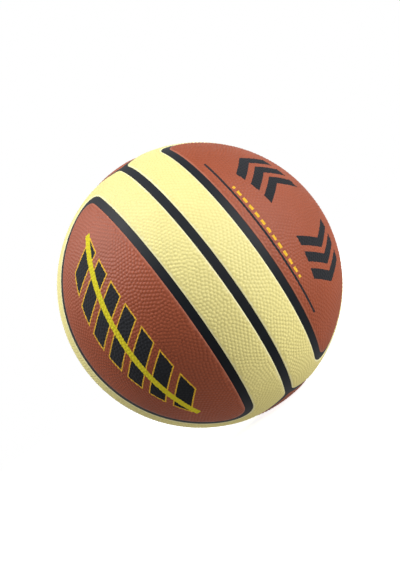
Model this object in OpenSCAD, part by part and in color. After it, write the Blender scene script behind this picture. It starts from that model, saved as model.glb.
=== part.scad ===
// Twelve-panel rubber basketball, full size.
// The ball is a stack of thin shells: bladder, thread winding, carcass, then the cover.
// The cover is four lens panels, a cream frame panel round each, and two half panels at each pole,
// with black strips sunk between them.
// Origin at the ball's centre. +Z runs through the two poles, where the panels meet in diamonds.
// +Y runs out through the middle of the rear lens panel and its inflation valve.

/* [Ball] */
// Diameter over the cover panels
ball_d = 240; // [220:1:250]
// Thickness of the rubber cover panels
cover_t = 1.4; // [1.1:0.1:2.5]
// Thickness of the black strips laid between the panels
strip_t = 0.5; // [0.3:0.1:0.9]
// Thickness of the rubber carcass under the cover
carcass_t = 0.8; // [0.5:0.1:1.5]
// Thickness of the nylon thread winding
winding_t = 0.5; // [0.3:0.1:1]
// Thickness of the butyl bladder
bladder_t = 0.6; // [0.4:0.1:1.2]

/* [Panels] */
// Width of the channels between the panels
channel_w = 6.3; // [4:0.1:8]
// Distance of a lens channel's middle from the seam plane beside it, as a share of the ball's radius
lens_offset_share = 0.285; // [0.25:0.005:0.33]
// Radius of that middle line round each lens tip, seen from above, as a share of the ball's radius
lens_tip_share = 0.18; // [0.1:0.005:0.22]
// Distance from the pole to where a seam meets the pole diamond, as a share of the ball's radius
pole_reach_share = 0.345; // [0.32:0.005:0.37]
// Radius of a frame panel's corners beside the pole diamond, as a share of the ball's radius
frame_corner_share = 0.075; // [0.03:0.005:0.085]
// Radius of the corners of the half panels at the poles
pole_corner_r = 3.5; // [1:0.5:4]

/* [Valve] */
// Radius of the valve boss that shows in the cover
boss_r = 5.5; // [4.5:0.1:8]
// Radial gap between the boss and the hole in the cover panel
boss_gap = 0.25; // [0.1:0.05:0.5]
// Depth of the boss's end below the cover's surface
boss_sink = 0.5; // [0.3:0.1:1]
// Radius of the valve flange bonded inside the bladder
flange_r = 15; // [12:0.5:20]
// Thickness of the valve flange
flange_t = 1.2; // [0.8:0.1:2]
// Radius of the valve sleeve that hangs inside the ball
sleeve_r = 4.6; // [4.2:0.1:6]
// Length of the valve sleeve inward of the flange
sleeve_l = 17; // [14:0.5:24]
// Radius of the plug's shank
plug_r = 2.8; // [2.4:0.1:3.4]
// Radius of the plug's head
plug_head_r = 3.7; // [3.6:0.1:4.2]
// Depth of the plug's head
plug_head_t = 1.5; // [1:0.1:3]
// Depth of the plug's head below the boss's end
plug_sink = 0.2; // [0.1:0.1:0.8]
// Radius of the plug's retaining collar
plug_collar_r = 3.5; // [3.5:0.1:3.9]
// Length of the plug's retaining collar
plug_collar_l = 2; // [1:0.1:3]
// Radius of the guide hole for the inflating needle
needle_r = 1.1; // [1:0.05:1.3]
// Depth of the guide hole, below which the plug is a closed slit
needle_l = 11; // [8:0.5:14]
// Length of the whole plug
plug_l = 16; // [15:0.5:18]

/* [Detail] */
// Facets in a full circle, in a preview
$fn = 128; // [96:8:200]

/* [Hidden] */

// Radii of the layers, from the outside in
ball_r = ball_d / 2;
carcass_r = ball_r - cover_t;
winding_r = carcass_r - carcass_t;
bladder_r = winding_r - winding_t;
air_r = bladder_r - bladder_t;

// Half a channel, the same across a square's corners, and the outlines' far edge, past the ball's side
half_w = channel_w / 2;
half_diagonal = norm([half_w, half_w]);
far = ball_r + channel_w;

// Places of the seams on this ball
lens_offset = ball_r * lens_offset_share;
lens_tip_r = ball_r * lens_tip_share;
pole_reach = ball_r * pole_reach_share;
frame_corner_r = ball_r * frame_corner_share;

// Turn between neighbouring points of a rounded corner
point_turn = 4.5;

// The two seam planes stand half way between the row's X and Y axes
seam_turn = 45;
// The four sides of the ball, by their turn from the rear
rear_turn = 0;
left_turn = 90;
front_turn = 180;
right_turn = 270;

// Heights along the valve's axis, from the ball's centre
boss_end = ball_r - boss_sink;
plug_end = boss_end - plug_sink;
sleeve_end = air_r - flange_t - sleeve_l;

brown = [0.60, 0.28, 0.20];
cream = [0.93, 0.89, 0.62];
black = [0.13, 0.14, 0.16];

function unit(v) = v / norm(v);
function angle_of(v) = atan2(v.y, v.x);
// The same turn, taken the short way round
function short_turn(angle) = angle > 180 ? angle - 360 : angle < -180 ? angle + 360 : angle;

// Points of the arc of radius r that rounds the corner p between the sides to a and to b
function corner_arc(a, p, b, r) =
    let (to_a = unit(a - p), to_b = unit(b - p), half = acos(to_a * to_b) / 2,
        middle = p + unit(to_a + to_b) * r / sin(half),
        first = angle_of(p + to_a * r / tan(half) - middle),
        turn = short_turn(angle_of(p + to_b * r / tan(half) - middle) - first),
        steps = ceil(abs(turn) / point_turn))
    [for (k = [0:steps]) middle + r * [cos(first + turn * k / steps), sin(first + turn * k / steps)]];

// A flat outline with its corners rounded, each by its own radius, or left sharp at zero
module soft_outline(points, radii) {
    n = len(points);
    polygon([for (i = [0:n - 1])
        each (radii[i] > 0
            ? corner_arc(points[(i + n - 1) % n], points[i], points[(i + 1) % n], radii[i])
            : [points[i]])]);
}

// The part of a layer of the ball that lies over a flat outline, above and below the equator
module layer(outer_r, inner_r) {
    intersection() {
        difference() {
            sphere(outer_r);
            sphere(inner_r);
        }
        rotate(seam_turn) linear_extrude(2 * far, center = true) children();
    }
}

// The same at one pole only: way is 1 at the top and -1 at the bottom
module polar_layer(outer_r, inner_r, way) {
    intersection() {
        difference() {
            sphere(outer_r);
            sphere(inner_r);
        }
        mirror([0, 0, way > 0 ? 0 : 1]) rotate(seam_turn) linear_extrude(far) children();
    }
}

module cover_layer() layer(ball_r, carcass_r) children();
module strip_layer() layer(carcass_r + strip_t, carcass_r) children();

// Outline of a lens in its quarter, grown from the channel's middle line by grow
module lens_outline(grow) {
    near = lens_offset - grow;
    soft_outline([[near, near], [far, near], [far, far], [near, far]],
        [lens_tip_r + grow, 0, 0, 0]);
}

// Where a frame panel's straight side ends and its rounded corner starts
frame_corner = pole_reach + half_diagonal - half_w;
frame_start = frame_corner + norm([frame_corner_r, frame_corner_r]) - frame_corner_r;

// Outer outline of a frame panel in its quarter: two seams and one side of the pole diamond
module frame_outline() {
    soft_outline([[half_w, frame_corner], [frame_corner, half_w], [far, half_w], [far, far],
        [half_w, far]], [frame_corner_r, frame_corner_r, 0, 0, 0]);
}

// Outline of the half panel at a pole, on the +Y side of the seam that crosses the pole
module pole_outline() {
    tip = pole_reach - half_diagonal;
    soft_outline([[half_w - tip, half_w], [tip - half_w, half_w], [0, tip]],
        [pole_corner_r, pole_corner_r, pole_corner_r]);
}

// Hole through a shell for the valve boss
module boss_hole(gap) {
    rotate([-90, 0, 0]) cylinder(h = far, r = boss_r + gap);
}

module lens_panel(side_turn) {
    color(brown) difference() {
        cover_layer() rotate(side_turn) lens_outline(-half_w);
        if (side_turn == rear_turn) boss_hole(boss_gap);
    }
}

module frame_panel(side_turn) {
    color(cream) cover_layer() rotate(side_turn) difference() {
        frame_outline();
        lens_outline(half_w);
    }
}

module pole_panel(side_turn, way) {
    color(brown) polar_layer(ball_r, carcass_r, way) rotate(side_turn) pole_outline();
}

// Unbroken strip round the whole ball, over both poles
module strip_ring() {
    color(black) strip_layer() square([2 * far, channel_w], center = true);
}

// Strip from pole diamond to pole diamond, down one side of the ball
module strip_arc(side_turn) {
    color(black) strip_layer() rotate(side_turn)
        translate([-half_w, frame_start]) square([channel_w, far - frame_start]);
}

// Bent strip along two sides of a pole diamond, with a flared end at each seam
module strip_pole(side_turn, way) {
    color(black) polar_layer(carcass_r + strip_t, carcass_r, way) rotate(side_turn) difference() {
        polygon([[-frame_start, half_w], [frame_start, half_w], [half_w, frame_start],
            [-half_w, frame_start]]);
        frame_outline();
        mirror([1, 0, 0]) frame_outline();
        pole_outline();
    }
}

// Closed strip round one lens panel
module strip_lens(side_turn) {
    color(black) strip_layer() rotate(side_turn) difference() {
        lens_outline(half_w);
        lens_outline(-half_w);
    }
}

// A closed shell of the ball, bored for the valve boss
module bored_shell(outer_r, inner_r) {
    difference() {
        sphere(outer_r);
        sphere(inner_r);
        boss_hole(0);
    }
}

module carcass() {
    color([0.20, 0.20, 0.21]) bored_shell(carcass_r, winding_r);
}

module thread_winding() {
    color([0.86, 0.84, 0.78]) bored_shell(winding_r, bladder_r);
}

module bladder() {
    color([0.28, 0.28, 0.30]) bored_shell(bladder_r, air_r);
}

// Plug's outline, from its inner end to its head, with room round it
module plug_shape(room) {
    collar_start = plug_end - plug_l;
    translate([0, 0, collar_start]) cylinder(h = plug_l, r = plug_r + room);
    translate([0, 0, collar_start]) cylinder(h = plug_collar_l, r = plug_collar_r + room);
    translate([0, 0, plug_end - plug_head_t]) cylinder(h = plug_head_t, r = plug_head_r + room);
}

module valve_body() {
    color([0.10, 0.10, 0.11]) difference() {
        union() {
            rotate([-90, 0, 0]) translate([0, 0, sleeve_end])
                cylinder(h = air_r - sleeve_end - flange_t / 2, r = sleeve_r);
            intersection() {
                difference() {
                    sphere(air_r);
                    sphere(air_r - flange_t);
                }
                rotate([-90, 0, 0]) cylinder(h = far, r = flange_r);
            }
            intersection() {
                rotate([-90, 0, 0]) cylinder(h = boss_end, r = boss_r);
                difference() {
                    sphere(ball_r);
                    sphere(air_r - flange_t / 2);
                }
            }
        }
        rotate([-90, 0, 0]) {
            plug_shape(0);
            translate([0, 0, plug_end - plug_head_t]) cylinder(h = far, r = plug_head_r);
        }
    }
}

module valve_plug() {
    color([0.05, 0.05, 0.06]) rotate([-90, 0, 0]) difference() {
        plug_shape(0);
        translate([0, 0, plug_end - needle_l]) cylinder(h = far, r = needle_r);
    }
}

bladder();
valve_body();
valve_plug();
thread_winding();
carcass();
strip_ring();
strip_arc(front_turn);  // strip_arc_front
strip_arc(rear_turn);  // strip_arc_rear
strip_pole(front_turn, 1);  // strip_top_front
strip_pole(rear_turn, 1);  // strip_top_rear
strip_pole(front_turn, -1);  // strip_bottom_front
strip_pole(rear_turn, -1);  // strip_bottom_rear
strip_lens(rear_turn);  // strip_lens_rear
strip_lens(left_turn);  // strip_lens_left
strip_lens(front_turn);  // strip_lens_front
strip_lens(right_turn);  // strip_lens_right
frame_panel(rear_turn);  // frame_panel_rear
frame_panel(left_turn);  // frame_panel_left
frame_panel(front_turn);  // frame_panel_front
frame_panel(right_turn);  // frame_panel_right
pole_panel(front_turn, 1);  // pole_panel_top_front
pole_panel(rear_turn, 1);  // pole_panel_top_rear
pole_panel(front_turn, -1);  // pole_panel_bottom_front
pole_panel(rear_turn, -1);  // pole_panel_bottom_rear
lens_panel(rear_turn);  // lens_panel_rear
lens_panel(left_turn);  // lens_panel_left
lens_panel(front_turn);  // lens_panel_front
lens_panel(right_turn);  // lens_panel_right
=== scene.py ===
import math
import bpy
import numpy as np
from mathutils import Matrix, Vector
from mathutils.geometry import delaunay_2d_cdt
from mathutils.kdtree import KDTree


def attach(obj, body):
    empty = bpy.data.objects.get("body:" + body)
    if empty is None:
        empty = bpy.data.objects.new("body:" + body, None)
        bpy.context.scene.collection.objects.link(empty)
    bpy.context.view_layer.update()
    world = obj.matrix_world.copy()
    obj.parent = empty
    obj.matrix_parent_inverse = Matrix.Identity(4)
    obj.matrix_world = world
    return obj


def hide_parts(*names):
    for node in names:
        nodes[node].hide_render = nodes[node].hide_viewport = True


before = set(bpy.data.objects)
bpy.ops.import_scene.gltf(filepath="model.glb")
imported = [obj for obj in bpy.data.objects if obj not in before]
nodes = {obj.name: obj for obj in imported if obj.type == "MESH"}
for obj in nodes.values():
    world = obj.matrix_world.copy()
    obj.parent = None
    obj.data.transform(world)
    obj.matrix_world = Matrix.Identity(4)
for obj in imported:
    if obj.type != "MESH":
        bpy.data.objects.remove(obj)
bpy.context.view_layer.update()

# Floor and background.
# The ball rests on a white studio table, lost in the white behind it, and its shadow is faint. What the
# table throws back is mostly a painted glow, no lamp: soft, a little warm, and weaker on the ball's left.
ball_r = 0.120
table_w = 12

bpy.ops.object.select_all(action="DESELECT")
bpy.ops.mesh.primitive_plane_add(size=table_w, location=(0, 0, -ball_r))
floor = bpy.context.object
floor.name = "floor"
bpy.ops.object.transform_apply(location=True, rotation=True, scale=True)

white_table = bpy.data.materials.new("white_table")
white_table.use_nodes = True
tree = white_table.node_tree
tree.nodes.clear()
output = tree.nodes.new("ShaderNodeOutputMaterial")
seen = tree.nodes.new("ShaderNodeLightPath")
for_camera = tree.nodes.new("ShaderNodeMixShader")
paper = tree.nodes.new("ShaderNodeBsdfDiffuse")
paper.inputs["Color"].default_value = (0.15, 0.15, 0.15, 1)
place = tree.nodes.new("ShaderNodeTexCoord")
sides = tree.nodes.new("ShaderNodeSeparateXYZ")
rightward = tree.nodes.new("ShaderNodeMath")
rightward.operation = "ADD"
fading = tree.nodes.new("ShaderNodeMapRange")
fading.inputs["From Min"].default_value = -0.35
fading.inputs["From Max"].default_value = 0.15
fading.inputs["To Min"].default_value = 0.26
fading.inputs["To Max"].default_value = 0.58
# The table's painted glow, no lamp, lights the ball: warm, and fading towards the ball's left.
soft_glow = tree.nodes.new("ShaderNodeEmission")
soft_glow.inputs["Color"].default_value = (1.0, 0.95, 0.86, 1)
glowing_paper = tree.nodes.new("ShaderNodeAddShader")
faint_paper = tree.nodes.new("ShaderNodeBsdfDiffuse")
faint_paper.inputs["Color"].default_value = (0.80, 0.80, 0.80, 1)
glow = tree.nodes.new("ShaderNodeEmission")
glow.inputs["Color"].default_value = (1, 1, 1, 1)
glow.inputs["Strength"].default_value = 0.88
shown = tree.nodes.new("ShaderNodeAddShader")
tree.links.new(place.outputs["Object"], sides.inputs[0])
tree.links.new(sides.outputs["X"], rightward.inputs[0])
tree.links.new(sides.outputs["Y"], rightward.inputs[1])
tree.links.new(rightward.outputs[0], fading.inputs["Value"])
tree.links.new(fading.outputs["Result"], soft_glow.inputs["Strength"])
tree.links.new(paper.outputs[0], glowing_paper.inputs[0])
tree.links.new(soft_glow.outputs[0], glowing_paper.inputs[1])
tree.links.new(faint_paper.outputs[0], shown.inputs[0])
tree.links.new(glow.outputs[0], shown.inputs[1])
tree.links.new(seen.outputs["Is Camera Ray"], for_camera.inputs["Fac"])
tree.links.new(glowing_paper.outputs[0], for_camera.inputs[1])
tree.links.new(shown.outputs[0], for_camera.inputs[2])
tree.links.new(for_camera.outputs[0], output.inputs["Surface"])
floor.data.materials.append(white_table)
floor.visible_glossy = False

# Camera and lamps.
# The camera looks at the seam between two frames, rolled so that the ball's pole leans to the left. Wide
# soft lamps stand at its left and high on its right, and a weak one between the ball and the white wall.
camera_right = Vector((0.6389, 0.4878, -0.5948)).normalized()
camera_back = Vector((0.5922, -0.8053, -0.0243)).normalized()
camera_up = camera_back.cross(camera_right).normalized()
camera_right = camera_up.cross(camera_back)
camera_gap = 6 * ball_r

bpy.ops.object.camera_add(location=camera_back * camera_gap)
camera = bpy.context.object
camera.name = "camera"
camera.rotation_euler = Matrix((camera_right, camera_up, camera_back)).transposed().to_euler()
camera.data.sensor_width = 36
camera.data.lens = 53.47
camera.data.clip_start = 0.01
bpy.context.scene.camera = camera

lamp_gap = 1.3
lamp_w = 0.9
lamps = (
    ("left_lamp", -0.86, 0.45, 0.24, 16.6),
    ("right_lamp", 0.56, 0.64, 0.52, 14.8),
    ("back_lamp", 0.20, 0.50, -0.84, 2.0),
)
for name, across, above, ahead, power in lamps:
    way = (camera_right * across + camera_up * above + camera_back * ahead).normalized()
    bpy.ops.object.light_add(type="AREA", location=way * lamp_gap)
    lamp = bpy.context.object
    lamp.name = name
    lamp.data.shape = "DISK"
    lamp.data.size = lamp_w
    lamp.data.energy = power
    lamp.rotation_euler = way.to_track_quat("Z", "Y").to_euler()

world = bpy.data.worlds.new("white_studio")
bpy.context.scene.world = world
world.use_nodes = True
tree = world.node_tree
tree.nodes.clear()
output = tree.nodes.new("ShaderNodeOutputWorld")
seen = tree.nodes.new("ShaderNodeLightPath")
for_camera = tree.nodes.new("ShaderNodeMixShader")
place = tree.nodes.new("ShaderNodeTexCoord")
behind = tree.nodes.new("ShaderNodeVectorMath")
behind.operation = "DOT_PRODUCT"
behind.inputs[1].default_value = -camera_back
wall = tree.nodes.new("ShaderNodeMapRange")
wall.inputs["From Min"].default_value = 0.0
wall.inputs["From Max"].default_value = 0.6
wall.inputs["To Min"].default_value = 0.05
wall.inputs["To Max"].default_value = 0.60
fill = tree.nodes.new("ShaderNodeBackground")
fill.inputs["Color"].default_value = (1, 1, 1, 1)
white = tree.nodes.new("ShaderNodeBackground")
white.inputs["Color"].default_value = (1, 1, 1, 1)
white.inputs["Strength"].default_value = 1.0
tree.links.new(place.outputs["Generated"], behind.inputs[0])
tree.links.new(behind.outputs["Value"], wall.inputs["Value"])
tree.links.new(wall.outputs["Result"], fill.inputs["Strength"])
tree.links.new(seen.outputs["Is Camera Ray"], for_camera.inputs["Fac"])
tree.links.new(fill.outputs[0], for_camera.inputs[1])
tree.links.new(white.outputs[0], for_camera.inputs[2])
tree.links.new(for_camera.outputs[0], output.inputs["Surface"])
bpy.context.scene.view_settings.view_transform = "Standard"

# Bladder.
# A closed butyl rubber bag that holds the air, moulded in one piece and cured round the valve's flange.
# Its skin is smooth and dusted with talc from the mould.


def rubber(name, colour, dusty, rough, grain, grain_depth, gloss=0.5):
    """Plain moulded rubber: two close shades in soft patches, and a fine grain in the surface."""
    material = bpy.data.materials.new(name)
    material.use_nodes = True
    tree = material.node_tree
    shader = tree.nodes["Principled BSDF"]
    shader.inputs["Specular IOR Level"].default_value = gloss
    place = tree.nodes.new("ShaderNodeTexCoord")
    patches = tree.nodes.new("ShaderNodeTexNoise")
    patches.inputs["Scale"].default_value = 55
    patches.inputs["Detail"].default_value = 5
    patches.inputs["Roughness"].default_value = 0.6
    shades = tree.nodes.new("ShaderNodeValToRGB")
    shades.color_ramp.elements[0].position = 0.32
    shades.color_ramp.elements[0].color = (*colour, 1)
    shades.color_ramp.elements[1].position = 0.78
    shades.color_ramp.elements[1].color = (*dusty, 1)
    sheen = tree.nodes.new("ShaderNodeMapRange")
    sheen.inputs["To Min"].default_value = rough - 0.05
    sheen.inputs["To Max"].default_value = rough + 0.08
    pores = tree.nodes.new("ShaderNodeTexNoise")
    pores.inputs["Scale"].default_value = grain
    pores.inputs["Detail"].default_value = 3
    bump = tree.nodes.new("ShaderNodeBump")
    bump.inputs["Strength"].default_value = 0.35
    bump.inputs["Distance"].default_value = grain_depth
    tree.links.new(place.outputs["Object"], patches.inputs["Vector"])
    tree.links.new(place.outputs["Object"], pores.inputs["Vector"])
    tree.links.new(patches.outputs["Fac"], shades.inputs["Fac"])
    tree.links.new(patches.outputs["Fac"], sheen.inputs["Value"])
    tree.links.new(shades.outputs["Color"], shader.inputs["Base Color"])
    tree.links.new(sheen.outputs["Result"], shader.inputs["Roughness"])
    tree.links.new(pores.outputs["Fac"], bump.inputs["Height"])
    tree.links.new(bump.outputs["Normal"], shader.inputs["Normal"])
    return material


def dress(node, material):
    """Gives a part of the frame its finished material."""
    nodes[node].data.materials.clear()
    nodes[node].data.materials.append(material)


dress("bladder", rubber(
    "bladder_rubber", colour=(0.012, 0.012, 0.014), dusty=(0.050, 0.050, 0.052),
    rough=0.50, grain=2500, grain_depth=0.00004))

# Thread winding.
# About two kilometres of nylon thread, wound over the bladder in every direction and held with latex.
# The strands cross at all angles, so it looks like pale felted cord.
strand_turns = ((0, 0, 0), (1.1, 0.4, 0.2), (0.3, 1.3, 0.9), (0.9, 0.7, 2.1))

winding_thread = bpy.data.materials.new("winding_thread")
winding_thread.use_nodes = True
tree = winding_thread.node_tree
shader = tree.nodes["Principled BSDF"]
shader.inputs["Roughness"].default_value = 0.75
place = tree.nodes.new("ShaderNodeTexCoord")
strands = None
for turn in strand_turns:
    lay = tree.nodes.new("ShaderNodeMapping")
    lay.inputs["Rotation"].default_value = turn
    wave = tree.nodes.new("ShaderNodeTexWave")
    wave.wave_profile = "SIN"
    wave.inputs["Scale"].default_value = 260
    wave.inputs["Distortion"].default_value = 1.5
    wave.inputs["Detail"].default_value = 2
    tree.links.new(place.outputs["Object"], lay.inputs["Vector"])
    tree.links.new(lay.outputs["Vector"], wave.inputs["Vector"])
    if strands is None:
        strands = wave.outputs["Fac"]
    else:
        over = tree.nodes.new("ShaderNodeMath")
        over.operation = "MAXIMUM"
        tree.links.new(strands, over.inputs[0])
        tree.links.new(wave.outputs["Fac"], over.inputs[1])
        strands = over.outputs[0]
thread_shades = tree.nodes.new("ShaderNodeValToRGB")
thread_shades.color_ramp.elements[0].position = 0.55
thread_shades.color_ramp.elements[0].color = (0.36, 0.32, 0.24, 1)
thread_shades.color_ramp.elements[1].color = (0.78, 0.74, 0.64, 1)
bump = tree.nodes.new("ShaderNodeBump")
bump.inputs["Distance"].default_value = 0.0002
tree.links.new(strands, thread_shades.inputs["Fac"])
tree.links.new(strands, bump.inputs["Height"])
tree.links.new(thread_shades.outputs["Color"], shader.inputs["Base Color"])
tree.links.new(bump.outputs["Normal"], shader.inputs["Normal"])
dress("thread_winding", winding_thread)

# Carcass.
# A plain black rubber layer moulded over the winding. The panels and the strips are cured on to it,
# so none of it shows on a whole ball.
dress("carcass", rubber(
    "carcass_rubber", colour=(0.020, 0.020, 0.021), dusty=(0.036, 0.036, 0.037),
    rough=0.62, grain=1800, grain_depth=0.00006))

# Valve.
# A moulded rubber body sits in the bladder wall, with its round boss flush in the rear lens panel.
# The plug is pushed in from outside, and its small hole guides the inflating needle.
valve_rubber = rubber(
    "valve_rubber", colour=(0.010, 0.010, 0.011), dusty=(0.026, 0.026, 0.028),
    rough=0.42, grain=3200, grain_depth=0.00003)
dress("valve_body", valve_rubber)
dress("valve_plug", valve_rubber)

# Channel strips.
# Eleven strips of smooth black rubber, laid on the carcass in the sunk seams between the panels.
# The mould leaves them a soft blue-grey sheen.
channel_rubber = rubber(
    "channel_rubber", colour=(0.0045, 0.0070, 0.0115), dusty=(0.0080, 0.0115, 0.0175),
    rough=0.60, grain=1400, grain_depth=0.00003, gloss=0.36)
for node in nodes:
    if node.startswith("strip_"):
        dress(node, channel_rubber)

# Lens panels.
# Four brown rubber panels with rolled edges and pebbles moulded in gently bent rows, the rear one bored for
# the valve's boss. Edit-mode steps can't lay out such rows, so the skin's points are worked out here.

# Radii of the bare skin and the walls' foot, the rolled edges, and the steepest bend shaded smooth.
skin_r = 0.11943
wall_end_r = 0.11862
roll_w = 0.0006
roll_d = 0.0006
roll_steps = 4
smooth_to = math.radians(70)

# The lens outline: half a channel, its middle line's distance from the seam planes, and the round tips.
half_channel = 0.00315
lens_offset = 0.0342
lens_tip_r = 0.0216
lens_side_steps = 100
lens_tip_steps = 15
seam_turn = math.radians(45)

# The hole round the valve's boss.
valve_hole_r = 0.00575
valve_roll_d = 0.0005
valve_hole_steps = 48

# A pebble, and the rings of points that shape it: each ring's radius, its count, and its turn in steps.
pebble_h = 0.00054
pebble_foot_r = 0.00172
pebble_rings = ((0, 1, 0), (0.0005, 6, 0), (0.00095, 9, 0.5), (0.00135, 11, 0))
askew = (0.31, 0.17, 0.93)

# How pebbles are spread over a sphere of radius 1. Shakes, pushes and reaches are counted in pitches.
pebble_total = 23000
pebble_pitch = 0.0251
pebble_rounds = 3
pebble_pushes = 60
pebble_neighbours = 20
shake_seed = 5
shake = 0.2
push = 0.15
push_reach = 1.9
pit_reach = 0.75

# How the skin ends at the wall: bare at first, then with low pebbles that grow to whole ones.
bare_edge = 0.0018
full_pebbles = 0.0032
lowest_pebble = 0.4
wall_clear = 0.0011
wall_shares = (0, 0.25, 0.5, 0.75)

# The plain inner skin, and how points are laid flat to be joined.
plain_total = 1800
plain_clear = 0.004
behind_limit = 0.001
same_place = 1e-9
rear_face = (Vector((0, 0, 1)), Vector((1, 0, 0)), Vector((0, 1, 0)))


def point_tree(points):
    """The points in a search tree, which finds the ones nearest to a place."""
    tree = KDTree(len(points))
    for number, point in enumerate(points):
        tree.insert(point, number)
    tree.balance()
    return tree


def spiral_places(count):
    """Places spread evenly over the whole sphere along one spiral, as unit vectors."""
    step = np.arange(count)
    height = 1 - (2 * step + 1) / count
    turn = step * math.pi * (3 - math.sqrt(5))
    across = np.sqrt(1 - height ** 2)
    return np.column_stack([across * np.cos(turn), across * np.sin(turn), height])


def settled(places):
    """The places shaken a little, then pushed apart until they lie in close, gently bent rows."""
    places = places + np.random.default_rng(shake_seed).normal(0, shake * pebble_pitch, places.shape)
    for _ in range(pebble_rounds):
        tree = point_tree(places)
        hits = [tree.find_n(place, pebble_neighbours + 1)[1:] for place in places]
        near = np.array([[hit[1] for hit in close] for close in hits])
        for _ in range(pebble_pushes):
            away = places[:, None] - places[near]
            gap = np.linalg.norm(away, axis=2, keepdims=True) / pebble_pitch
            places = places + push * (away / gap * np.clip(push_reach - gap, 0, None) ** 2).sum(1)
            places /= np.linalg.norm(places, axis=1)[:, None]
    return places


def turned(points, angle):
    """Points turned about the pole axis."""
    cosine, sine = math.cos(angle), math.sin(angle)
    return points @ np.array([[cosine, sine, 0], [-sine, cosine, 0], [0, 0, 1]])


def plan_arc(middle, radius, start, end, steps):
    """An arc drawn in plan, both ends kept."""
    angle = np.radians(np.linspace(start, end, steps + 1))
    return np.column_stack([middle[0] + radius * np.cos(angle), middle[1] + radius * np.sin(angle)])


def raised(plan, r):
    """Plan points lifted on to the upper half of a sphere."""
    return np.column_stack([plan, np.sqrt(r * r - (plan ** 2).sum(1))])


def seam_side(offset, top, r, steps):
    """Along one straight side, from the equator up to where the corner starts, its end left out."""
    across = math.sqrt(r * r - offset * offset)
    angle = np.linspace(0, math.acos(top / across), steps, endpoint=False)
    return np.column_stack([np.full(steps, offset), across * np.cos(angle), across * np.sin(angle)])


def closed_loop(quarter):
    """The whole outline from one quarter: over the diagonal, then below the equator."""
    upper = np.vstack([quarter, quarter[-2::-1][:, [1, 0, 2]]])
    return turned(np.vstack([upper, (upper * [1, 1, -1])[-2:0:-1]]), seam_turn)


def lens_loop(grow, r):
    """A lens outline, grown from the channel's middle line by grow, on a sphere of radius r."""
    side = lens_offset - grow
    corner = lens_tip_r + grow
    middle = (side + corner, side + corner)
    return closed_loop(np.vstack([
        seam_side(side, side + corner, r, lens_side_steps),
        raised(plan_arc(middle, corner, 180, 225, lens_tip_steps), r)]))


def valve_loop(gap, r):
    """The edge of the hole round the valve boss."""
    angle = np.linspace(0, 2 * math.pi, valve_hole_steps, endpoint=False)
    out = np.full(valve_hole_steps, math.sqrt(r * r - gap * gap))
    return np.column_stack([gap * np.cos(angle), out, gap * np.sin(angle)])


def rolled_edge(loop_at, width, depth):
    """The loops of a rolled edge, from the skin over the round and down the wall to the carcass."""
    loops = []
    for step in range(roll_steps + 1):
        angle = math.radians(90) * step / roll_steps
        loops.append(loop_at(width * (1 - math.sin(angle)), skin_r - depth * (1 - math.cos(angle))))
    return loops + [loop_at(0, wall_end_r)]


def flattened(points, face):
    """The points' directions laid flat about the panel's middle."""
    flat = points / np.linalg.norm(points, axis=1)[:, None]
    scale = 2 / np.maximum(1 + flat @ np.array(face[2]), behind_limit)
    return np.column_stack([flat @ np.array(face[0]) * scale, flat @ np.array(face[1]) * scale])


def within(flat, loops):
    """Whether each flattened point lies inside the first loop and outside the others, its holes."""
    x, y = flat.T
    inside = np.zeros(len(flat), bool)
    for loop in loops:
        for (x1, y1), (x2, y2) in zip(loop, np.roll(loop, -1, axis=0)):
            beside = (x - x1) * (y2 - y1) < (x2 - x1) * (y - y1)
            inside ^= ((y1 > y) != (y2 > y)) & (beside == (y2 > y1))
    return inside


def joined(flat, edges):
    """The flattened points joined into triangles that keep to the edges."""
    made = delaunay_2d_cdt([Vector(point) for point in flat], edges, [], 0, same_place, True)
    first = np.array([origin[0] for origin in made[3]])
    return first[np.array(made[2])]


def skin_faces(flat, loops):
    """Triangles over the flattened points, and none outside the loops."""
    faces = joined(flat, [(int(a), int(b)) for loop in loops for a, b in zip(loop, np.roll(loop, -1))])
    return faces[within(flat[faces].mean(1), [flat[loop] for loop in loops])]


def wall_depth(places, near_wall):
    """How far each place on the skin lies from the panel's wall."""
    return np.array([near_wall.find(place * skin_r)[2] for place in places])


def pebble_skin(places, rise, outline, near_wall, face):
    """The skin's points: rings over each pebble, one point in each pit between them, and the bare edge's.

    With them comes each point's height, as a share of a whole pebble's."""
    pebbled = places[rise > 0]
    corners = pebbled[joined(flattened(pebbled, face), [])]
    pits = corners.mean(1)
    pits = pits[np.linalg.norm(corners - pits[:, None], axis=2).max(1) < pit_reach * pebble_pitch]
    pits /= np.linalg.norm(pits, axis=1)[:, None]
    along = np.cross(pebbled, askew)
    along /= np.linalg.norm(along, axis=1)[:, None]
    across = np.cross(pebbled, along)
    dots = [places[rise == 0], pits]
    for out, count, shift in pebble_rings:
        for step in range(count):
            angle = 2 * math.pi * (step + shift) / count
            way = along * math.cos(angle) + across * math.sin(angle)
            dots.append(pebbled * math.cos(out / skin_r) + way * math.sin(out / skin_r))
    dots = np.vstack(dots)
    dots = dots[within(flattened(dots, face), outline)]
    dots = dots[wall_depth(dots, near_wall) > wall_clear]

    nearest = point_tree(pebbled * skin_r)
    found = [nearest.find(dot * skin_r) for dot in dots]
    gap = np.array([hit[2] for hit in found]) / pebble_foot_r
    height = rise[rise > 0][[hit[1] for hit in found]] * np.clip(1 - gap ** 2, 0, 1)
    return dots * (skin_r + pebble_h * height)[:, None], height


def noted(mesh, name, kind, values):
    """Notes a value at each of the mesh's points, for its material to read."""
    note = mesh.attributes.new(name, kind, "POINT")
    note.data.foreach_set("vector" if kind == "FLOAT_VECTOR" else "value", values.ravel())


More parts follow.
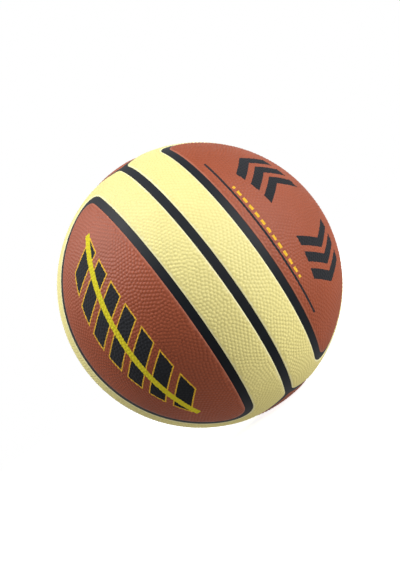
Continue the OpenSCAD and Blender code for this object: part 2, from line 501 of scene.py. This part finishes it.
def pebbled_panel(name, edges, face):
    """One cover panel: pebbled skin, rolled edges and walls, and a plain inner skin on the carcass."""
    wall = np.vstack([edge[roll_steps] * (1 - share) + np.roll(edge[roll_steps], -1, axis=0) * share
                      for edge in edges for share in wall_shares])
    near_wall = point_tree(wall)
    outline = [flattened(edge[0], face) for edge in edges]
    places = pebble_places[within(flattened(pebble_places, face), outline)]
    depth = wall_depth(places, near_wall)
    places = places[depth > 2 * roll_w]
    depth = depth[depth > 2 * roll_w]
    growth = (1 - lowest_pebble) * (depth - bare_edge) / (full_pebbles - bare_edge)
    rise = np.clip(lowest_pebble + growth, 0, 1)
    rise[depth < bare_edge] = 0
    skin, height = pebble_skin(places, rise, outline, near_wall, face)

    points = [skin]
    rims = []
    inner_rims = []
    quads = []
    start = len(skin)
    for edge in edges:
        size = len(edge[0])
        ids = [start + size * level + np.arange(size) for level in range(len(edge))]
        points.extend(edge)
        for upper, lower in zip(ids, ids[1:]):
            quads.append(np.column_stack([upper, np.roll(upper, -1), np.roll(lower, -1), lower]))
        rims.append(ids[0])
        inner_rims.append(ids[-1])
        start += size * len(edge)

    plain = spiral_places(plain_total)
    plain = plain[within(flattened(plain, face), outline)]
    plain = plain[wall_depth(plain, near_wall) > plain_clear] * wall_end_r
    points = np.vstack(points + [plain])

    outer_ids = np.concatenate([np.arange(len(skin))] + rims)
    inner_ids = np.concatenate([np.arange(start, start + len(plain))] + inner_rims)
    faces = np.vstack(quads).tolist()
    for ids, loops in ((outer_ids, rims), (inner_ids, inner_rims)):
        local = np.full(len(points), -1)
        local[ids] = np.arange(len(ids))
        faces += ids[skin_faces(flattened(points[ids], face), [local[loop] for loop in loops])].tolist()

    mesh = bpy.data.meshes.new(name)
    mesh.from_pydata(points.tolist(), [], faces)
    at_edge = np.zeros(len(points))
    at_edge[len(skin):start] = 1
    noted(mesh, "crown", "FLOAT", np.concatenate([height, np.zeros(len(points) - len(skin))]))
    noted(mesh, "rim", "FLOAT", at_edge)
    noted(mesh, "own_place", "FLOAT_VECTOR", points)
    panel = bpy.data.objects.new(name, mesh)
    bpy.context.scene.collection.objects.link(panel)
    bpy.ops.object.select_all(action="DESELECT")
    bpy.context.view_layer.objects.active = panel
    panel.select_set(True)
    bpy.ops.object.mode_set(mode="EDIT")
    bpy.ops.mesh.select_all(action="SELECT")
    bpy.ops.mesh.normals_make_consistent(inside=False)
    bpy.ops.object.mode_set(mode="OBJECT")
    bpy.ops.object.shade_smooth_by_angle(angle=smooth_to)
    return panel


def copy_turned(panel, name, angle, axis="Z"):
    """A further panel of the same mould, with its own mesh, turned to its place."""
    bpy.ops.object.select_all(action="DESELECT")
    bpy.context.view_layer.objects.active = panel
    panel.select_set(True)
    bpy.ops.object.duplicate()
    copy = bpy.context.object
    copy.name = name
    copy.data.name = name
    copy.data.transform(Matrix.Rotation(angle, 4, axis))
    return copy


def cover_rubber(name, colour, pale, valley_shade, edge):
    """Cover rubber in patches, with painted shade and dirt in the valleys and painted highlights on the
    edges.
    """
    material = bpy.data.materials.new(name)
    material.use_nodes = True
    tree = material.node_tree
    shader = tree.nodes["Principled BSDF"]
    shader.inputs["Specular IOR Level"].default_value = 0.70
    place = tree.nodes.new("ShaderNodeTexCoord")
    patches = tree.nodes.new("ShaderNodeTexNoise")
    patches.inputs["Scale"].default_value = 18
    patches.inputs["Detail"].default_value = 6
    shades = tree.nodes.new("ShaderNodeValToRGB")
    shades.color_ramp.elements[0].position = 0.35
    shades.color_ramp.elements[0].color = (*colour, 1)
    shades.color_ramp.elements[1].position = 0.70
    shades.color_ramp.elements[1].color = (*pale, 1)
    crown = tree.nodes.new("ShaderNodeAttribute")
    crown.attribute_name = "crown"
    # Painted shade, with some dirt: where the skin lies low, in the valleys and on the bare band, it takes
    # the darker shade.
    valley_shading = tree.nodes.new("ShaderNodeMix")
    valley_shading.data_type = "RGBA"
    valley_shading.inputs["A"].default_value = (*valley_shade, 1)
    depth = tree.nodes.new("ShaderNodeMapRange")
    depth.inputs["From Max"].default_value = 0.6
    depth.inputs["To Min"].default_value = 0.25
    rim = tree.nodes.new("ShaderNodeAttribute")
    rim.attribute_name = "rim"
    # A painted highlight: the rolled edges and walls take the paler edge colour, as if lit.
    rim_highlight = tree.nodes.new("ShaderNodeMix")
    rim_highlight.data_type = "RGBA"
    rim_highlight.inputs["B"].default_value = (*edge, 1)
    sheen = tree.nodes.new("ShaderNodeMapRange")
    sheen.inputs["To Min"].default_value = 0.66
    sheen.inputs["To Max"].default_value = 0.58
    pores = tree.nodes.new("ShaderNodeTexNoise")
    pores.inputs["Scale"].default_value = 2600
    pores.inputs["Detail"].default_value = 3
    bump = tree.nodes.new("ShaderNodeBump")
    bump.inputs["Strength"].default_value = 0.30
    bump.inputs["Distance"].default_value = 0.00004
    tree.links.new(place.outputs["Object"], patches.inputs["Vector"])
    tree.links.new(place.outputs["Object"], pores.inputs["Vector"])
    tree.links.new(patches.outputs["Fac"], shades.inputs["Fac"])
    tree.links.new(crown.outputs["Fac"], depth.inputs["Value"])
    tree.links.new(depth.outputs["Result"], valley_shading.inputs["Factor"])
    tree.links.new(shades.outputs["Color"], valley_shading.inputs["B"])
    tree.links.new(valley_shading.outputs["Result"], rim_highlight.inputs["A"])
    tree.links.new(rim.outputs["Fac"], rim_highlight.inputs["Factor"])
    tree.links.new(rim_highlight.outputs["Result"], shader.inputs["Base Color"])
    tree.links.new(crown.outputs["Fac"], sheen.inputs["Value"])
    tree.links.new(sheen.outputs["Result"], shader.inputs["Roughness"])
    tree.links.new(pores.outputs["Fac"], bump.inputs["Height"])
    tree.links.new(bump.outputs["Normal"], shader.inputs["Normal"])
    return material


def worked_out(tree, operation, first, second=0.0):
    """One step of sums in a material, on numbers or on other steps' results."""
    step = tree.nodes.new("ShaderNodeMath")
    step.operation = operation
    for socket, value in zip(step.inputs, (first, second)):
        if isinstance(value, (int, float)):
            socket.default_value = value
        else:
            tree.links.new(value, socket)
    return step.outputs[0]


def own_places(tree):
    """Where a point lies on its panel: across it, out from the ball's centre, and along it."""
    place = tree.nodes.new("ShaderNodeAttribute")
    place.attribute_name = "own_place"
    parts = tree.nodes.new("ShaderNodeSeparateXYZ")
    tree.links.new(place.outputs["Vector"], parts.inputs["Vector"])
    return parts.outputs


def printed(material, inks):
    """Lays matt inks on a cover rubber, one over another, each where its value is above zero."""
    ink_rough = 0.95
    ragged_edge = 0.0006
    tree = material.node_tree
    shader = tree.nodes["Principled BSDF"]
    base = shader.inputs["Base Color"].links[0].from_socket
    dull = shader.inputs["Roughness"].links[0].from_socket
    blotches = tree.nodes.new("ShaderNodeTexNoise")
    blotches.inputs["Scale"].default_value = 900
    tree.links.new(tree.nodes["Texture Coordinate"].outputs["Object"], blotches.inputs["Vector"])
    ragged = worked_out(tree, "SUBTRACT", blotches.outputs["Fac"], 0.5)
    ragged = worked_out(tree, "MULTIPLY", ragged, ragged_edge)
    for ink, area in inks:
        inked = tree.nodes.new("ShaderNodeMix")
        inked.data_type = "RGBA"
        inked.inputs["B"].default_value = (*ink, 1)
        cover = worked_out(tree, "GREATER_THAN", worked_out(tree, "ADD", area, ragged))
        tree.links.new(cover, inked.inputs["Factor"])
        tree.links.new(base, inked.inputs["A"])
        base = inked.outputs["Result"]
        dull = worked_out(tree, "MAXIMUM", dull, worked_out(tree, "MULTIPLY", cover, ink_rough))
    tree.links.new(base, shader.inputs["Base Color"])
    tree.links.new(dull, shader.inputs["Roughness"])


def barred_cover():
    """The first print: a row of leaning black bars with amber borders, and a yellow stripe over them."""
    bar_lean = 0.55
    bar_half_w = 0.0066
    bar_half_pitch = 0.0105
    bar_border = 0.0011
    row_reach = 0.070
    row_half_h = 0.0215
    row_taper = 2.0
    stripe_slope = 0.10
    stripe_half_w = 0.0026
    stripe_reach = 0.080

    material = cover_rubber("brown_cover_barred", *brown_shades)
    tree = material.node_tree
    across, _, along = own_places(tree)
    lean = worked_out(tree, "ADD", along, worked_out(tree, "MULTIPLY", across, bar_lean))
    in_row = worked_out(tree, "SUBTRACT", bar_half_w, worked_out(tree, "PINGPONG", lean, bar_half_pitch))
    height = worked_out(tree, "SUBTRACT", row_half_h, worked_out(
        tree, "MULTIPLY", worked_out(tree, "MULTIPLY", along, along), row_taper))
    in_height = worked_out(tree, "SUBTRACT", height, worked_out(tree, "ABSOLUTE", across))
    in_length = worked_out(tree, "SUBTRACT", row_reach, worked_out(tree, "ABSOLUTE", lean))
    bars = worked_out(tree, "MINIMUM", worked_out(tree, "MINIMUM", in_row, in_height), in_length)
    from_stripe = worked_out(tree, "ABSOLUTE", worked_out(
        tree, "ADD", across, worked_out(tree, "MULTIPLY", along, stripe_slope)))
    stripe = worked_out(tree, "MINIMUM", worked_out(tree, "SUBTRACT", stripe_half_w, from_stripe), worked_out(
        tree, "SUBTRACT", stripe_reach, worked_out(tree, "ABSOLUTE", along)))
    borders = worked_out(tree, "ADD", bars, bar_border)
    printed(material, ((amber_ink, borders), (black_ink, bars), (yellow_ink, stripe)))
    return material


def chevron_cover():
    """The second print: black chevrons above and below the middle, and a fine line and dashes on one side."""
    chevron_slope = 0.45
    chevron_half_w = 0.0040
    chevron_half_pitch = 0.0065
    first_chevron = 0.030
    group_middle = 0.0430
    group_half_l = 0.0200
    group_half_w = 0.024
    line_inset = 0.0075
    line_half_w = 0.0009
    line_reach = 0.070
    dash_inset = 0.0112
    dash_half_w = 0.0011
    dash_half_l = 0.0022
    dash_half_pitch = 0.0035
    dash_reach = 0.042

    material = cover_rubber("brown_cover_chevrons", *brown_shades)
    tree = material.node_tree
    across, out, along = own_places(tree)
    far_across = worked_out(tree, "ABSOLUTE", across)
    far_along = worked_out(tree, "ABSOLUTE", along)
    climb = worked_out(tree, "ADD", far_along, worked_out(tree, "MULTIPLY", far_across, chevron_slope))
    in_row = worked_out(tree, "SUBTRACT", chevron_half_w, worked_out(
        tree, "PINGPONG", worked_out(tree, "SUBTRACT", climb, first_chevron), chevron_half_pitch))
    in_group = worked_out(tree, "SUBTRACT", group_half_l, worked_out(
        tree, "ABSOLUTE", worked_out(tree, "SUBTRACT", climb, group_middle)))
    in_width = worked_out(tree, "SUBTRACT", group_half_w, far_across)
    chevrons = worked_out(tree, "MINIMUM", worked_out(tree, "MINIMUM", in_row, in_group), in_width)

    from_edge = worked_out(tree, "SUBTRACT", worked_out(tree, "MULTIPLY", worked_out(
        tree, "SUBTRACT", out, far_across), math.sqrt(0.5)), lens_offset + half_channel)
    in_line = worked_out(tree, "SUBTRACT", line_half_w, worked_out(
        tree, "ABSOLUTE", worked_out(tree, "SUBTRACT", from_edge, line_inset)))
    in_line = worked_out(tree, "MINIMUM", in_line, worked_out(tree, "SUBTRACT", line_reach, far_along))
    in_line = worked_out(tree, "MINIMUM", in_line, across)
    in_dashes = worked_out(tree, "SUBTRACT", dash_half_w, worked_out(
        tree, "ABSOLUTE", worked_out(tree, "SUBTRACT", from_edge, dash_inset)))
    in_dashes = worked_out(tree, "MINIMUM", in_dashes, worked_out(
        tree, "SUBTRACT", dash_half_l, worked_out(tree, "PINGPONG", along, dash_half_pitch)))
    in_dashes = worked_out(tree, "MINIMUM", in_dashes, worked_out(tree, "SUBTRACT", dash_reach, far_along))
    in_dashes = worked_out(tree, "MINIMUM", in_dashes, across)
    printed(material, ((black_ink, worked_out(tree, "MAXIMUM", chevrons, in_line)), (amber_ink, in_dashes)))
    return material


# Each kind of panel is first made at the rear or the top, where none reaches further forward than this,
# so the places beyond it aren't settled.
front_limit = -0.45
pebble_places = spiral_places(pebble_total)
pebble_places = settled(pebble_places[pebble_places[:, 1] > front_limit])

# Brown: its colour, a paler patch shade, a darker painted shade for the valleys, and a paler painted
# highlight for the edges.
brown_shades = ((0.340, 0.065, 0.017), (0.400, 0.080, 0.024), (0.26, 0.041, 0.010), (0.46, 0.130, 0.065))
black_ink = (0.011, 0.013, 0.018)
yellow_ink = (0.75, 0.65, 0.008)
amber_ink = (0.86, 0.50, 0.025)
brown_bars = barred_cover()
brown_chevrons = chevron_cover()

lens_edge = rolled_edge(lambda inset, r: lens_loop(-half_channel - inset, r), roll_w, roll_d)
valve_edge = rolled_edge(lambda inset, r: valve_loop(valve_hole_r + inset, r), roll_w, valve_roll_d)
lens_panels = {"rear": pebbled_panel("lens_cover_rear", [lens_edge, valve_edge], rear_face)}
lens_panels["left"] = pebbled_panel("lens_cover_left", [lens_edge], rear_face)
lens_panels["left"].data.transform(Matrix.Rotation(math.radians(90), 4, "Z"))
lens_panels["front"] = copy_turned(lens_panels["left"], "lens_cover_front", math.radians(90))
lens_panels["right"] = copy_turned(lens_panels["left"], "lens_cover_right", math.radians(180))
for side, panel in lens_panels.items():
    panel.data.materials.append(brown_bars if side in ("front", "left") else brown_chevrons)
    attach(panel, "root")
    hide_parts("lens_panel_" + side)

# Frame panels.
# Four cream rubber panels, each a closed ring round one lens, with the same pebbles and rolled edges.
# They meet along two seams, and their ends are cut across at each pole.
pole_reach = 0.0414
frame_corner_r = 0.009
frame_corner_steps = 8
frame_side_steps = 117
frame_end_steps = 21
side_clear = 0.00035
seam_gap = half_channel + side_clear


def frame_loop(inset, r):
    """A frame panel's outer outline, drawn in by inset."""
    side = seam_gap + inset
    corner = frame_corner_r - inset
    cut = pole_reach + (seam_gap + inset) * math.sqrt(2)
    middle = (side + corner, cut + corner * math.sqrt(2) - side - corner)
    round_part = plan_arc(middle, corner, 180, 225, frame_corner_steps)
    last = round_part[-1]
    half_way = np.full(2, last.sum() / 2)
    share = np.linspace(0, 1, frame_end_steps + 1)[1:, None]
    return closed_loop(np.vstack([
        seam_side(side, middle[1], r, frame_side_steps),
        raised(np.vstack([round_part, last + (half_way - last) * share]), r)]))


# Cream rubber, with a darker painted shade for the valleys and a paler painted highlight for the edges.
cream_cover = cover_rubber(
    "cream_cover", (0.87, 0.78, 0.30), (0.93, 0.84, 0.34), (0.76, 0.66, 0.22), (0.98, 0.93, 0.52))
frame_edge = rolled_edge(frame_loop, roll_w, roll_d)
frame_hole = rolled_edge(lambda inset, r: lens_loop(seam_gap + inset, r), roll_w, roll_d)
frame_panels = {"rear": pebbled_panel("frame_cover_rear", [frame_edge, frame_hole], rear_face)}
for side, angle in (("left", 90), ("front", 180), ("right", 270)):
    frame_panels[side] = copy_turned(frame_panels["rear"], "frame_cover_" + side, math.radians(angle))
for side, panel in frame_panels.items():
    panel.data.materials.append(cream_cover)
    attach(panel, "root")
    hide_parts("frame_panel_" + side)

# Pole panels.
# Two small brown half panels close the diamond at each pole, one on either side of the seam.
# They are of the same pebbled rubber as the lenses.
pole_corner_r = 0.0035
pole_corner_steps = 8
pole_top_steps = 4
pole_foot_steps = 24
pole_slope_steps = 29
pole_face = (Vector((1, 0, 0)), Vector((0, 1, 0)), Vector((0, 0, 1)))


def pole_loop(inset, r):
    """A half panel's outline, drawn in by inset."""
    side = half_channel + inset
    corner = pole_corner_r - inset
    tip = pole_reach - (half_channel + inset) * math.sqrt(2)
    end = (tip - corner * math.sqrt(2) - side - corner, side + corner)
    top = (0, tip - corner * math.sqrt(2))
    share = np.linspace(0, 1, pole_foot_steps + 1)[:-1, None]
    foot = np.array([[0, side]]) * (1 - share) + np.array([[end[0], side]]) * share
    outer_round = plan_arc(end, corner, -90, 45, pole_corner_steps)
    top_round = plan_arc(top, corner, 45, 90, pole_top_steps)
    share = np.linspace(0, 1, pole_slope_steps + 1)[1:-1, None]
    slope = outer_round[-1] + (top_round[0] - outer_round[-1]) * share
    half = np.vstack([foot, outer_round, slope, top_round])
    plan = np.vstack([half, (half * [-1, 1])[-2:0:-1]])
    return turned(raised(plan, r), seam_turn)


brown_cover = cover_rubber("brown_cover", *brown_shades)
pole_edge = rolled_edge(pole_loop, roll_w, roll_d)
pole_panels = {"top_rear": pebbled_panel("pole_cover_top_rear", [pole_edge], pole_face)}
pole_panels["top_front"] = copy_turned(pole_panels["top_rear"], "pole_cover_top_front", math.radians(180))
across_seam = Vector((-1, 1, 0)).normalized()
for end in ("rear", "front"):
    pole_panels["bottom_" + end] = copy_turned(
        pole_panels["top_" + end], "pole_cover_bottom_" + end, math.radians(180), across_seam)
for end, panel in pole_panels.items():
    panel.data.materials.append(brown_cover)
    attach(panel, "root")
    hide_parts("pole_panel_" + end)
